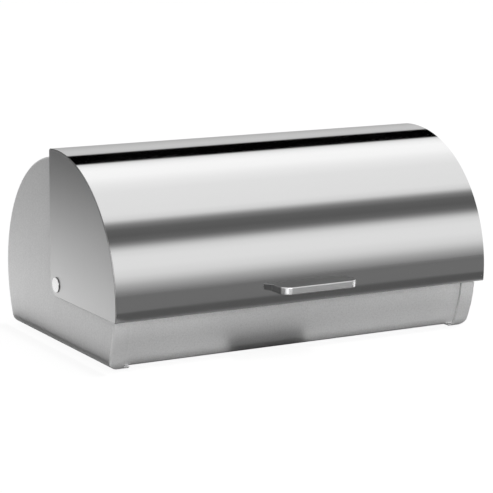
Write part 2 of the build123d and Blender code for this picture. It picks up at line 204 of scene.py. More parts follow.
# ---------------------------------------------------------------- shared effects
class EffectLibrary:
    """Builds each shared effect once and places it in materials.

    Attributes:
        BROADER: scale of the broad streaks beside the fine ones.
        CLOUDS: scale of the clouds beside the grains.
        MARKED: range of the noise over which a handling mark sets in.
        FLAT: range of a normal's share along the axis over which a face becomes flat.
        RIM_FADE: how far past its limit a rim fades out.
        SQUARE: range of a normal's share along X or Y over which a rim comes to face it.
        LEAST_LEVEL: shortest level part that a normal's share is taken of.
    """

    BROADER = 0.13
    CLOUDS = 0.03
    MARKED = (0.42, 0.72)
    FLAT = (0.93, 0.99)
    RIM_FADE = 0.15
    SQUARE = (0.90, 0.99)
    LEAST_LEVEL = 0.3

    def __init__(self) -> None:
        """Start with nothing built."""
        self.groups: dict[Effect, bpy.types.NodeTree] = {}

    def place(self, bench: Bench, effect: Effect, **inputs: object) -> bpy.types.Node:
        """Place an effect in a material.

        Args:
            bench: the material's tree.
            effect: which effect.
            inputs: its own values, by name, with _ for a space.

        Returns:
            The group node.
        """
        if effect not in self.groups:
            makers = {Effect.STREAKS: self.streaks, Effect.SPECKLE: self.speckle,
                      Effect.HANDLING: self.handling, Effect.FACING: self.facing}
            self.groups[effect] = makers[effect]()
        node = bench.node("ShaderNodeGroup", {"node_tree": self.groups[effect]})
        for key, value in inputs.items():
            bench.feed(node.inputs[key.replace("_", " ")], value)
        return node

    @staticmethod
    def start(effect: Effect, numbers: dict[str, float], vectors: dict[str, tuple],
              outputs: list[str]) -> tuple[bpy.types.NodeTree, Bench, bpy.types.Node, bpy.types.Node]:
        """Start a group with its sockets.

        Args:
            effect: names the group.
            numbers: number inputs with their defaults.
            vectors: vector inputs with their defaults.
            outputs: number outputs.

        Returns:
            The tree, its bench, its input node and its output node.
        """
        tree = bpy.data.node_groups.new(effect.value, "ShaderNodeTree")
        for kind, given in (("NodeSocketVector", vectors), ("NodeSocketFloat", numbers)):
            for name, value in given.items():
                tree.interface.new_socket(name, in_out="INPUT", socket_type=kind).default_value = value
        for name in outputs:
            tree.interface.new_socket(name, in_out="OUTPUT", socket_type="NodeSocketFloat")
        bench = Bench(tree)
        return tree, bench, bench.node("NodeGroupInput"), bench.node("NodeGroupOutput")

    def streaks(self) -> bpy.types.NodeTree:
        """Long fine lines left by a brushing belt: noise drawn out along one axis."""
        tree, bench, given, result = self.start(
            Effect.STREAKS, {}, {"Place": (0, 0, 0), "Lines": (10, 900, 900)}, ["Fine", "Broad"])
        scaled = bench.node("ShaderNodeVectorMath", {"operation": "MULTIPLY"})
        bench.feed(scaled.inputs[0], given.outputs["Place"])
        bench.feed(scaled.inputs[1], given.outputs["Lines"])
        fine = bench.node("ShaderNodeTexNoise", Vector=scaled.outputs[0],
                          Scale=1.0, Detail=3.0, Roughness=0.6)
        slow = bench.node("ShaderNodeVectorMath", {"operation": "SCALE"})
        bench.feed(slow.inputs[0], scaled.outputs[0])
        slow.inputs["Scale"].default_value = self.BROADER
        broad = bench.node("ShaderNodeTexNoise", Vector=slow.outputs[0],
                           Scale=1.0, Detail=2.0, Roughness=0.5)
        bench.feed(result.inputs["Fine"], fine.outputs["Fac"])
        bench.feed(result.inputs["Broad"], broad.outputs["Fac"])
        return tree

    def speckle(self) -> bpy.types.NodeTree:
        """Fine even grain of a blasted or satin-rolled sheet."""
        tree, bench, given, result = self.start(
            Effect.SPECKLE, {"Grains": 1400.0}, {"Place": (0, 0, 0)}, ["Grain", "Cloud"])
        place, grains = given.outputs["Place"], given.outputs["Grains"]
        grain = bench.node("ShaderNodeTexNoise", Vector=place, Scale=grains, Detail=2.0, Roughness=0.7)
        size = bench.math("MULTIPLY", grains, self.CLOUDS)
        cloud = bench.node("ShaderNodeTexNoise", Vector=place, Scale=size, Detail=3.0, Roughness=0.55)
        bench.feed(result.inputs["Grain"], grain.outputs["Fac"])
        bench.feed(result.inputs["Cloud"], cloud.outputs["Fac"])
        return tree

    def handling(self) -> bpy.types.NodeTree:
        """Faint large patches where hands and cloths have passed."""
        tree, bench, given, result = self.start(
            Effect.HANDLING, {"Patches": 14.0}, {"Place": (0, 0, 0)}, ["Mark"])
        noise = bench.node("ShaderNodeTexNoise", Vector=given.outputs["Place"],
                           Scale=given.outputs["Patches"], Detail=4.0, Roughness=0.5, Distortion=0.6)
        bench.feed(result.inputs["Mark"], bench.ramp(noise.outputs["Fac"], *self.MARKED))
        return tree

    def facing(self) -> bpy.types.NodeTree:
        """Masks of faces square to an axis, rims along it, edges between, and rims' ends and corners, which place
        painted light and shade in the metal.
        """
        tree, bench, given, result = self.start(
            Effect.FACING, {"Rim Limit": 0.25}, {"Normal": (0, 0, 1), "Axis": (0, 0, 1)},
            ["Flat", "Rim", "Edge", "End", "Corner"])
        along = bench.node("ShaderNodeVectorMath", {"operation": "DOT_PRODUCT"})
        bench.feed(along.inputs[0], given.outputs["Normal"])
        bench.feed(along.inputs[1], given.outputs["Axis"])
        share = bench.math("ABSOLUTE", along.outputs["Value"])
        flat = bench.ramp(share, *self.FLAT)
        over = bench.math("SUBTRACT", share, given.outputs["Rim Limit"])
        rim = bench.ramp(over, 0.0, self.RIM_FADE, 1.0, 0.0)
        beside = bench.math("SUBTRACT", 1.0, flat)
        bench.feed(result.inputs["Flat"], flat)
        bench.feed(result.inputs["Rim"], rim)
        bench.feed(result.inputs["Edge"], bench.math("SUBTRACT", beside, rim))
        parts = bench.node("ShaderNodeSeparateXYZ", Vector=given.outputs["Normal"])
        level = bench.length(parts.outputs["X"], parts.outputs["Y"])
        level = bench.math("MAXIMUM", level, self.LEAST_LEVEL)
        across, ahead = (
            bench.ramp(bench.math("DIVIDE", bench.math("ABSOLUTE", parts.outputs[name]), level),
                       *self.SQUARE)
            for name in ("X", "Y"))
        bench.feed(result.inputs["End"], bench.math("MULTIPLY", beside, across))
        turned = bench.math("SUBTRACT", bench.math("SUBTRACT", 1.0, across), ahead)
        bench.feed(result.inputs["Corner"], bench.math("MULTIPLY", rim, turned))
        return tree


EFFECTS = EffectLibrary()


# ---------------------------------------------------------------- finishes
@dataclass(frozen=True)
class MetalFinish:
    """A metal surface with belt lines, grain, faint marks, and painted light and shade by the way its faces turn.

    Attributes:
        name: the material's name.
        tone: grey level of the metal.
        roughness: mean roughness.
        lines: belt lines per metre along X, Y and Z; a small number is the belt's direction.
        line_tone: how much the lines vary the tone.
        grains: grains per metre.
        grain_tone: how much the grain varies the tone.
        roughness_play: how much roughness varies.
        axis: direction that tells faces from rims and edges.
        flat_tone: share of the tone on the faces square to the axis; below 1 it is painted shade.
        rim_tone: share of the tone on the rims, painted shade below 1 and painted light above it.
        edge_tone: share of the tone on the edges between, a painted highlight above 1 and painted shade below it.
        edge_polish: how much smoother those edges are.
        grazing_tone: grey level that the metal turns to at a low angle.
        end_tone: share of the rim's tone where it faces along X; below 1 it is painted shade.
        corner_polish: how much smoother the rim is where it turns a corner.
    """

    name: str
    tone: float
    roughness: float
    lines: tuple[float, float, float] = (10.0, 900.0, 900.0)
    line_tone: float = 0.0
    grains: float = 1400.0
    grain_tone: float = 0.0
    roughness_play: float = 0.02
    axis: Axis = Axis.X
    flat_tone: float = 1.0
    rim_tone: float = 1.0
    edge_tone: float = 1.0
    edge_polish: float = 0.0
    grazing_tone: float = 1.0
    end_tone: float = 1.0
    corner_polish: float = 0.0

    def material(self) -> bpy.types.Material:
        """Build the material.

        Returns:
            The finished material.
        """
        made = bpy.data.materials.new(self.name)
        made.use_nodes = True
        bench = Bench(made.node_tree)
        shader = made.node_tree.nodes["Principled BSDF"]
        shader.inputs["Metallic"].default_value = 1.0
        shader.inputs["Specular Tint"].default_value = grey(self.grazing_tone)
        coordinates = bench.node("ShaderNodeTexCoord")
        place = coordinates.outputs["Object"]
        streaks = EFFECTS.place(bench, Effect.STREAKS, Place=place, Lines=self.lines)
        grain = EFFECTS.place(bench, Effect.SPECKLE, Place=place, Grains=self.grains)
        marks = EFFECTS.place(bench, Effect.HANDLING, Place=place)
        facing = EFFECTS.place(bench, Effect.FACING, Normal=coordinates.outputs["Normal"],
                               Axis=self.axis.value)
        swings = (bench.math("MULTIPLY", bench.math("SUBTRACT", noise, 0.5), strength)
                  for noise, strength in ((streaks.outputs["Fine"], self.line_tone),
                                          (grain.outputs["Grain"], self.grain_tone)))
        swing = bench.math("ADD", *swings)
        # painted light and shade: the tone is scaled on faces, rims, edges and ends by the way each faces
        share = bench.math("MULTIPLY", facing.outputs["Flat"], self.flat_tone)
        share = bench.math("MULTIPLY_ADD", facing.outputs["Rim"], self.rim_tone, share)
        share = bench.math("MULTIPLY_ADD", facing.outputs["Edge"], self.edge_tone, share)
        ends = (self.end_tone - 1) * self.rim_tone
        share = bench.math("MULTIPLY_ADD", facing.outputs["End"], ends, share)
        tone = bench.math("MULTIPLY", bench.math("ADD", swing, self.tone), share)
        bench.feed(shader.inputs["Base Color"], bench.blend(tone, BLACK, WHITE))
        rough = bench.math("ADD", bench.math("MULTIPLY", marks.outputs["Mark"], self.roughness_play),
                           bench.math("MULTIPLY", streaks.outputs["Broad"], self.roughness_play))
        rough = bench.math("ADD", rough, self.roughness - self.roughness_play)
        polish = bench.math("MULTIPLY", facing.outputs["Edge"], self.edge_polish)
        polish = bench.math("MULTIPLY_ADD", facing.outputs["Corner"], self.corner_polish, polish)
        bench.feed(shader.inputs["Roughness"], bench.math("SUBTRACT", rough, polish))
        return made


@dataclass(frozen=True)
class SoftFinish:
    """A moulded rubber or plastic surface.

    Attributes:
        name: the material's name.
        colour: red, green and blue.
        roughness: mean roughness.
        roughness_play: how much roughness varies.
        texture_depth: height of the moulded texture.
        grains: its grains per metre.
        patches: handling marks per metre.
        worn_gain: how many times brighter a mark is.
        worn_lift: what a mark adds on top.
    """

    name: str
    colour: tuple[float, float, float]
    roughness: float
    roughness_play: float = 0.12
    texture_depth: float = 0.00002
    grains: float = 2200.0
    patches: float = 60.0
    worn_gain: float = 1.3
    worn_lift: float = 0.02

    def material(self) -> bpy.types.Material:
        """Build the material.

        Returns:
            The finished material.
        """
        made = bpy.data.materials.new(self.name)
        made.use_nodes = True
        bench = Bench(made.node_tree)
        shader = made.node_tree.nodes["Principled BSDF"]
        place = bench.node("ShaderNodeTexCoord").outputs["Object"]
        grain = EFFECTS.place(bench, Effect.SPECKLE, Place=place, Grains=self.grains)
        marks = EFFECTS.place(bench, Effect.HANDLING, Place=place, Patches=self.patches)
        worn = tuple(min(1.0, channel * self.worn_gain + self.worn_lift) for channel in self.colour)
        colour = bench.blend(marks.outputs["Mark"], (*self.colour, 1), (*worn, 1))
        bench.feed(shader.inputs["Base Color"], colour)
        rough = bench.math("MULTIPLY", grain.outputs["Cloud"], self.roughness_play)
        rough = bench.math("ADD", rough, self.roughness - self.roughness_play / 2)
        bench.feed(shader.inputs["Roughness"], rough)
        height = bench.math("MULTIPLY", grain.outputs["Grain"], self.texture_depth)
        bump = bench.node("ShaderNodeBump", Strength=1.0, Distance=1.0, Height=height)
        bench.feed(shader.inputs["Normal"], bump.outputs["Normal"])
        return made


FINISHES: dict[str, MetalFinish | SoftFinish] = {
    "lid_mirror_steel": MetalFinish(
        "bright rolled lid steel", 0.92, 0.07, lines=(6.0, 1500.0, 1500.0), line_tone=0.02,
        roughness_play=0.015),
    # painted shade: the end plates' rims and edges are darkened to half
    "lid_plate_steel": MetalFinish(
        "bright end plate steel", 0.57, 0.30, lines=(1500.0, 1500.0, 12.0), line_tone=0.02,
        rim_tone=0.5, edge_tone=0.5),
    # painted light: the side panels' rims and edges are lightened by 0.15
    "panel_steel": MetalFinish(
        "satin panel steel", 0.785, 0.63, lines=(1600.0, 1600.0, 20.0), line_tone=0.08,
        grains=700.0, grain_tone=0.22, rim_tone=1.15, edge_tone=1.15, edge_polish=0.05),
    "sheet_steel": MetalFinish(
        "satin sheet steel", 0.95, 0.60, lines=(1600.0, 1600.0, 20.0), line_tone=0.06,
        grains=700.0, grain_tone=0.30),
    # painted shade: the handle's top and underside at half tone and its ends at 0.15; painted highlight on its
    # edges
    "handle_metal": MetalFinish(
        "satin handle alloy", 0.86, 0.42, grain_tone=0.04, axis=Axis.Z, flat_tone=0.5,
        edge_tone=1.1, edge_polish=0.10, grazing_tone=0.15, end_tone=0.15, corner_polish=0.12),
    # painted shade: the cap's rim is darkened to 0.3
    "cap_chrome": MetalFinish("bright chrome", 0.82, 0.20, roughness_play=0.01, rim_tone=0.3),
    "fastener_steel": MetalFinish("zinc plated steel", 0.72, 0.30, grain_tone=0.06),
    "rivet_aluminium": MetalFinish("dull aluminium", 0.78, 0.38, grain_tone=0.05),
    "bush_nylon": SoftFinish("natural nylon", (0.74, 0.73, 0.69), 0.45),
    "foot_rubber": SoftFinish("black foot rubber", (0.035, 0.035, 0.035), 0.7),
    "buffer_rubber": SoftFinish("black buffer rubber", (0.045, 0.045, 0.045), 0.6),
}


class Wardrobe:
    """Gives each node of the frame the material of its slot."""

    def __init__(self, record: dict) -> None:
        """Read which slot each node takes.

        Args:
            record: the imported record.
        """
        self.slots = {part["node"]: part["material_slot"] for part in record["subparts"]}
        self.made: dict[str, bpy.types.Material] = {}
        self.dressed: set[str] = set()

    def material(self, slot: str) -> bpy.types.Material:
        """The material of a slot, built the first time."""
        if slot not in self.made:
            self.made[slot] = FINISHES[slot].material()
        return self.made[slot]

    def dress(self, node: str) -> None:
        """Put a node's own material on its object.

        Args:
            node: the node's name.
        """
        mesh = frame["nodes"][node].data
        mesh.materials.clear()
        mesh.materials.append(self.material(self.slots[node]))
        self.dressed.add(node)
        LOG.info("%s: %s", node, self.slots[node])


# ---------------------------------------------------------------- drawing small pieces
def solids(node: str) -> list[list[Vector]]:
    """Find the separate solids of a node.

    Args:
        node: the node's name.

    Returns:
        The points of each solid.
    """
    mesh = frame["nodes"][node].data
    first: dict[tuple[int, ...], int] = {}
    links = [first.setdefault(tuple(round(c * 1e6) for c in v.co), v.index) for v in mesh.vertices]

    def root(index: int) -> int:
        """The point that stands for all that an index is joined to."""
        while links[index] != index:
            links[index] = links[links[index]]
            index = links[index]
        return index

    for face in mesh.polygons:
        for index in face.vertices[1:]:
            links[root(index)] = root(face.vertices[0])
    groups: dict[int, list[Vector]] = {}
    for vertex in mesh.vertices:
        groups.setdefault(root(vertex.index), []).append(vertex.co.copy())
    return list(groups.values())


@dataclass(frozen=True)
class Tip:
    """The free end of a round shank.

    Attributes:
        FACE_DEPTH: how near the end a point lies that belongs to its face.
        SHANK_DEPTH: how near the end the shank is measured.
        place: middle of its end face.
        way: direction that it points in.
        radius: of the shank.
    """

    FACE_DEPTH: ClassVar[float] = 0.0001
    SHANK_DEPTH: ClassVar[float] = 0.0012

    place: Vector
    way: Vector
    radius: float

    @classmethod
    def of(cls, points: list[Vector], way: Vector) -> "Tip":
        """Measure a tip on a solid.

        Args:
            points: the solid's points.
            way: direction that the tip points in.

        Returns:
            The tip.
        """
        reach = max(point.dot(way) for point in points)
        face = [point for point in points if reach - point.dot(way) < cls.FACE_DEPTH]
        place = sum(face, Vector()) / len(face)
        near = [point - place for point in points if reach - point.dot(way) < cls.SHANK_DEPTH]
        return cls(place, way, max((point - point.dot(way) * way).length for point in near))


def turns(count: int) -> list[float]:
    """Angles that divide a full turn evenly, in radians."""
    return [2 * math.pi * k / count for k in range(count)]


class Draft:
    """Points and faces of one small piece while it is drawn.

    Attributes:
        THREAD_STEPS: points in one turn of a thread.
        THREAD_RUN_IN: steps over which a thread rises to its depth.
        RIDGE_HALF: half of its ridge's foot, as a share of the pitch.
        RIDGE_SINK: how far that foot lies under the shank's surface.
        DOME_SIDES: points round a dome.
        DOME_RINGS: heights of its rings, as shares of its own.
        DOME_ROUND: how far its top closes in.
        BEAD_SIDES: points round a bead.
        SECTION_SIDES: points round its section.
        CREASE: angle in degrees from which an edge is sharp.
    """

    THREAD_STEPS = 24
    THREAD_RUN_IN = 8
    RIDGE_HALF = 0.35
    RIDGE_SINK = 0.00005
    DOME_SIDES = 20
    DOME_RINGS = (-0.4, 0.0, 0.5, 0.85, 1.0)
    DOME_ROUND = 0.96
    BEAD_SIDES = 48
    SECTION_SIDES = 8
    CREASE = 50

    def __init__(self, name: str) -> None:
        """Start an empty piece.

        Args:
            name: what the piece will be called.
        """
        self.name = name
        self.points: list[Vector] = []
        self.faces: list[tuple[int, ...]] = []

    def skin(self, rings: list[list[Vector]], loop: bool = False) -> None:
        """Join rings of points one after another.

        Args:
            rings: rings with the same number of points each.
            loop: whether the last joins the first; otherwise both are capped.
        """
        start, count = len(self.points), len(rings[0])
        self.points += [point for ring in rings for point in ring]
        for index in range(len(rings) if loop else len(rings) - 1):
            here, there = start + index * count, start + (index + 1) % len(rings) * count
            self.faces += [(here + k, here + (k + 1) % count, there + (k + 1) % count, there + k)
                           for k in range(count)]
        if not loop:
            self.faces.append(tuple(start + k for k in reversed(range(count))))
            self.faces.append(tuple(start + (len(rings) - 1) * count + k for k in range(count)))

    def thread(self, tip: Tip, pitch: float, depth: float, length: float) -> None:
        """Wind the ridge of a screw thread back from a tip.

        Args:
            tip: where it starts.
            pitch: from one turn to the next.
            depth: how far it stands out.
            length: how far back it runs.
        """
        side = tip.way.orthogonal().normalized()
        other = tip.way.cross(side)
        steps = int(length / pitch * self.THREAD_STEPS)
        half = tip.way * self.RIDGE_HALF * pitch
        foot = tip.radius - self.RIDGE_SINK
        rings = []
        for step in range(steps + 1):
            turn = 2 * math.pi * step / self.THREAD_STEPS
            out = math.cos(turn) * side + math.sin(turn) * other
            middle = tip.place - tip.way * pitch * (self.RIDGE_HALF + step / self.THREAD_STEPS)
            near_end = min(step, steps - step) / self.THREAD_RUN_IN
            crest = tip.radius + depth * min(1.0, near_end)
            rings.append([middle + out * foot + half, middle + out * crest, middle + out * foot - half])
        self.skin(rings)

    def dome(self, place: Vector, way: Vector, radius: float, height: float) -> None:
        """Raise a shallow dome.

        Args:
            place: middle of its foot.
            way: direction that it rises in.
            radius: of its foot.
            height: how far it rises.
        """
        side = way.orthogonal().normalized()
        other = way.cross(side)
        spokes = [math.cos(turn) * side + math.sin(turn) * other for turn in turns(self.DOME_SIDES)]
        rings = []
        for share in self.DOME_RINGS:
            wide = radius * math.sqrt(1 - max(share, 0.0) ** 2 * self.DOME_ROUND)
            rings.append([place + way * height * share + wide * spoke for spoke in spokes])
        self.skin(rings)

    def bead(self, place: Vector, radius: float, thickness: float) -> None:
        """Lay a ring of round section level about a point.

        Args:
            place: its middle.
            radius: of its centre line.
            thickness: radius of its section.
        """
        up = Vector(Axis.Z.value)
        rings = []
        for turn in turns(self.BEAD_SIDES):
            out = Vector((math.cos(turn), math.sin(turn), 0.0))
            rings.append([place + out * (radius + thickness * math.cos(a)) + up * thickness * math.sin(a)
                          for a in turns(self.SECTION_SIDES)])
        self.skin(rings, loop=True)

    def finish(self, body: Body, slot: str, wardrobe: Wardrobe) -> None:
        """Turn the draft into a piece of the box.

        Args:
            body: the body that it moves with.
            slot: the material slot that it takes its finish from.
            wardrobe: holds the finishes.
        """
        mesh = bpy.data.meshes.new(self.name)
        mesh.from_pydata(self.points, [], self.faces)
        mesh.shade_smooth()
        mesh.set_sharp_from_angle(angle=math.radians(self.CREASE))
        mesh.materials.append(wardrobe.material(slot))
        piece = bpy.data.objects.new(self.name, mesh)
        bpy.context.scene.collection.objects.link(piece)
        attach(piece, body.value)
        LOG.info("%s: %d faces, on the %s", self.name, len(self.faces), body.value)


# ---------------------------------------------------------------- the box's sub-assemblies
@dataclass
class SubAssembly:
    """Nodes that belong together, with the small pieces that only the scene has.

    Attributes:
        wardrobe: gives each node its finish.
    """

    wardrobe: Wardrobe

    def nodes(self) -> list[str]:
        """The nodes that it dresses."""
        return []

    def details(self) -> None:
        """Add its small pieces, if it has any."""

    def build(self) -> None:
        """Dress the nodes and add the small pieces."""
        for node in self.nodes():
            self.wardrobe.dress(node)
        self.details()
        LOG.info("%s: done", type(self).__name__)


@dataclass
class CaseShell(SubAssembly):
    """Side panels with their rims, front panel, back shell and base plate, riveted together."""

    def nodes(self) -> list[str]:
        """The sheets of the case and their rivets."""
        return [f"side_panel_{side.word}" for side in Side] + ["front_panel", "back_shell", "base_plate",
                                                               "base_rivets"]


@dataclass
class Feet(SubAssembly):
    """Four rubber feet with their rivets.

    Attributes:
        bead_height: where the bead runs, as a share of the foot's height.
        bead: thickness of the moulded bead.
    """

    bead_height: float = 0.6
    bead: float = 0.0003

    def corners(self) -> list[str]:
        """The names of the four feet."""
        return [f"foot_{end}_{side.word}" for end in ("front", "rear") for side in Side]

    def nodes(self) -> list[str]:
        """The feet and their rivets."""
        return self.corners() + ["foot_rivets"]

    def details(self) -> None:
        """Mould a bead round each foot."""
        draft = Draft("foot_beads")
        for node in self.corners():
            low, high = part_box(node)
            place = (low + high) / 2
            place.z = low.z + (high.z - low.z) * self.bead_height
            draft.bead(place, (high.x - low.x) / 2 - self.bead / 3, self.bead)
        draft.finish(Body.CASE, "foot_rubber", self.wardrobe)


@dataclass
class CaseScrews(SubAssembly):
    """Screws that join the sheets to the side panels' rims.

    Attributes:
        pitch: of the thread.
        depth: of the thread.
        length: how much of a tip shows it.
    """

    pitch: float = 0.0005
    depth: float = 0.00015
    length: float = 0.0011

    def nodes(self) -> list[str]:
        """The screws of the panels and of the base."""
        return [f"{group}_screws_{side.word}" for side in Side for group in ("panel", "base")]

    def details(self) -> None:
        """Cut a thread on the tips that come through inside the case."""
        axis = self.case_axis()
        for side in Side:
            draft = Draft(f"screw_threads_{side.word}")
            for points in solids(f"panel_screws_{side.word}"):
                middle = sum(points, Vector()) / len(points)
                inward = (axis - Vector((0, middle.y, middle.z))).normalized()
                draft.thread(Tip.of(points, inward), self.pitch, self.depth, self.length)
            for points in solids(f"base_screws_{side.word}"):
                draft.thread(Tip.of(points, Vector(Axis.Z.value)), self.pitch, self.depth, self.length)
            draft.finish(Body.CASE, "fastener_steel", self.wardrobe)

    def case_axis(self) -> Vector:
        """The axis of the case's curve, from the side panel's highest, rearmost and foremost points."""
        low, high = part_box("side_panel_left")
        radius = (high.y - low.y) / 2
        return Vector((0, (low.y + high.y) / 2, high.z - radius))


@dataclass
class StopBuffers(SubAssembly):
    """Rubber buffers that the lid comes to rest on."""

    def nodes(self) -> list[str]:
        """The two buffers."""
        return [f"stop_buffer_{side.word}" for side in Side]


@dataclass
class PivotSet(SubAssembly):
    """Studs with their caps, bushes, washers and nuts that the lid turns on.

    Attributes:
        pitch: of the studs' thread.
        depth: of the thread.
        length: how much of a stud's end shows it.
    """

    pitch: float = 0.0006
    depth: float = 0.00018
    length: float = 0.0011

    def nodes(self) -> list[str]:
        """The parts of both pivots."""
        return [f"pivot_{part}_{side.word}" for side in Side for part in ("stud", "bush", "washer", "nut")]

    def details(self) -> None:
        """Cut a thread on the studs' ends, which come through the nuts."""
        for side in Side:
            draft = Draft(f"stud_thread_{side.word}")
            inward = Vector((-side.value, 0, 0))
            tip = Tip.of(solids(f"pivot_stud_{side.word}")[0], inward)
            draft.thread(tip, self.pitch, self.depth, self.length)
            draft.finish(Body.CASE, "cap_chrome", self.wardrobe)


@dataclass
class RollLid(SubAssembly):
    """Quarter-round lid: a rolled sheet with an end plate at each side.

    Attributes:
        weld_radius: of the spot welds' marks.
        weld_height: how far the marks stand out.
        weld_first: angle of the first weld above the horizon in front.
        weld_last: angle of the last.
        welds: how many there are on each side.
        inner_band: width of the band along a plate's inner edge where its radius is measured.
    """

    weld_radius: float = 0.0022
    weld_height: float = 0.00012
    weld_first: float = 4.0
    weld_last: float = 88.0
    welds: int = 8
    inner_band: float = 0.0003

    def nodes(self) -> list[str]:
        """The rolled sheet and the end plates."""
        return ["lid_curve"] + [f"lid_end_{side.word}" for side in Side]

    def details(self) -> None:
        """Mark the spot welds that hold the end plates' flanges to the rolled sheet."""
        pivot = Vector(frame["joints"][0]["pos_m"])
        draft = Draft("spot_welds")
        for side in Side:
            points = [vertex.co for vertex in frame["nodes"][f"lid_end_{side.word}"].data.vertices]
            edge = min(abs(point.x) for point in points)
            outer = max(abs(point.x) for point in points)
            radius = min(math.hypot(point.y - pivot.y, point.z - pivot.z)
                         for point in points if abs(point.x) < edge + self.inner_band)
            for k in range(self.welds):
                share = k / (self.welds - 1)
                angle = math.radians(self.weld_first + (self.weld_last - self.weld_first) * share)
                out = Vector((0, -math.cos(angle), math.sin(angle)))
                place = pivot + out * radius
                place.x = side.value * (edge + outer) / 2
                draft.dome(place, -out, self.weld_radius, self.weld_height)
        draft.finish(Body.LID, "lid_plate_steel", self.wardrobe)


@dataclass
class Handle(SubAssembly):
    """Ledge handle with the screws and washers that hold it from inside the lid."""

    def nodes(self) -> list[str]:
        """The handle and its fasteners."""
        return ["lid_handle", "handle_screws", "handle_washers"]


# ---------------------------------------------------------------- studio
@dataclass
class Camera:
    """The still camera, aimed at the box from its front left.

    Attributes:
        place: where the lens stands.
        heading: turn of the view to the right of the depth axis.
        dip: how far the view looks down.
        roll: turn about the line of sight.
        lens: focal length in millimetres.
        sensor: width of the sensor in millimetres.
    """

    place: tuple[float, float, float] = (-0.97102, -1.70655, 0.46818)
    heading: float = 29.57
    dip: float = 11.04
    roll: float = 0.36
    lens: float = 145.75
    sensor: float = 36.0

    def build(self) -> None:
        """Make the camera the scene's own."""
        data = bpy.data.cameras.new("still camera")
        data.lens = self.lens
        data.sensor_width = self.sensor
        camera = bpy.data.objects.new("still camera", data)
        turn = (Matrix.Rotation(math.radians(-self.heading), 4, "Z")
                @ Matrix.Rotation(math.radians(90 - self.dip), 4, "X")
                @ Matrix.Rotation(math.radians(self.roll), 4, "Z"))
        camera.matrix_world = Matrix.Translation(self.place) @ turn
        bpy.context.scene.collection.objects.link(camera)
        bpy.context.scene.camera = camera


@dataclass(frozen=True)
class Stop:
    """One point of the studio's light round the box, seen along X.

    Attributes:
        angle: degrees from the front horizon, up over the box to the back.
        level: how bright, where 1 is white.
    """

    angle: float
    level: float


# long soft boxes and dark gaps that light the box and show in its metal, but not to the camera:
# from the floor in front, over the top, to the back
SURROUND = (
    Stop(-30, 0.12), Stop(-6, 0.14), Stop(0, 0.22), Stop(6, 0.40), Stop(10, 0.57),
    Stop(14, 0.69), Stop(21, 0.77), Stop(29, 0.77), Stop(34, 0.70), Stop(37, 0.53),
    Stop(40, 0.26), Stop(43, 0.13), Stop(48, 0.10), Stop(53.5, 0.115), Stop(57.4, 0.20),
    Stop(59.8, 0.38), Stop(62.3, 0.68), Stop(67.5, 0.78), Stop(90, 0.80), Stop(99, 0.87),
    Stop(108, 0.98), Stop(117, 1.0), Stop(123.5, 0.91), Stop(128.4, 0.66), Stop(129.3, 0.0),
    Stop(146.5, 0.0), Stop(147.9, 0.58), Stop(158, 0.58), Stop(172, 0.48), Stop(180, 0.45),
)


@dataclass(frozen=True)
class Patch:
    """A soft-edged rectangle with its own level, which the camera doesn't see.

    On the floor its sides are X and Y in metres. In the surrounding light they are the bearing, which is 0
    straight ahead of the box and grows to the right, and the height above the horizon, in degrees.

    Attributes:
        left: where it starts along X, or its first bearing.
        right: where it ends, or its last bearing.
        near: where it starts along Y, or its lowest height.
        far: where it ends, or its greatest height.
        soft: width of its edges, half of it on each side.
        level: how bright, where 1 is white.
    """

    left: float
    right: float
    near: float
    far: float
    soft: float
    level: float

    def mask(self, bench: Bench, across: object, along: object) -> bpy.types.NodeSocket:
        """Where the patch lies.

        Args:
            bench: the floor's or the world's tree.
            across: the floor's X, or the bearing.
            along: its Y, or the height.

        Returns:
            The mask's socket, 1 inside.
        """
        half = self.soft / 2
        sides = bench.math("MULTIPLY", bench.ramp(across, self.left - half, self.left + half),
                           bench.ramp(across, self.right - half, self.right + half, 1.0, 0.0))
        ends = bench.math("MULTIPLY", bench.ramp(along, self.near - half, self.near + half),
                          bench.ramp(along, self.far - half, self.far + half, 1.0, 0.0))
        return bench.math("MULTIPLY", sides, ends)


# painted reflections on the floor that only the metal sees, each over the ones before: the dark ones in front are
# painted dark reflections, the one along the left side and the near-black one under the box are painted shadow,
# and the two brightest glow as painted highlights
FLOOR_PAINTED_REFLECTIONS = (
    Patch(-3.0, 3.0, -9.0, -0.245, 0.05, 0.13),
    Patch(-3.0, 3.0, -9.0, -2.4, 2.6, 0.20),
    Patch(-3.0, 3.0, -0.325, -0.262, 0.03, 0.075),
    Patch(-0.6, 0.6, -0.250, -0.108, 0.014, 0.15),
    Patch(0.208, 0.60, -0.22, 0.05, 0.02, 0.24),
    Patch(0.390, 0.650, -0.300, -0.160, 0.030, 5.5),
    Patch(-0.330, -0.138, -0.600, -0.270, 0.040, 1.7),
    Patch(-0.236, -0.150, -0.100, 0.200, 0.030, 0.40),
    Patch(-0.200, 0.215, -0.1022, 0.150, 0.010, 0.02),
)

# bright cards standing round the box in the surrounding light, which the camera doesn't see
CARDS = (
    Patch(-70.0, -36.0, 0.0, 35.0, 8.0, 1.3),
    Patch(-20.0, 8.0, 0.0, 40.0, 10.0, 4.7),
    Patch(58.0, 105.0, -5.0, 25.0, 6.0, 1.1),
)


@dataclass(frozen=True)
class Flag:
    """A low black strip that stands on the floor beside the box, a dark thing put there for shade.

    Attributes:
        start: X and Y of one end.
        end: X and Y of the other.
        top: its height.
        lean: how far its top stands off its foot, in X and Y.
    """

    start: tuple[float, float]
    end: tuple[float, float]
    top: float
    lean: tuple[float, float] = (0.0, 0.0)


# black strips that stand in for shade, which the camera doesn't see: two before the front panel darken its
# foot with painted shade, one along the left side darkens that side's bottom
FLAGS = (
    Flag((-0.073, -0.0955), (0.011, -0.0955), 0.0130, (0.0, -0.0115)),
    Flag((0.011, -0.0925), (0.190, -0.0925), 0.0042, (0.0, -0.0010)),
    Flag((-0.206, -0.100), (-0.206, 0.138), 0.0095, (-0.013, 0.0)),
)


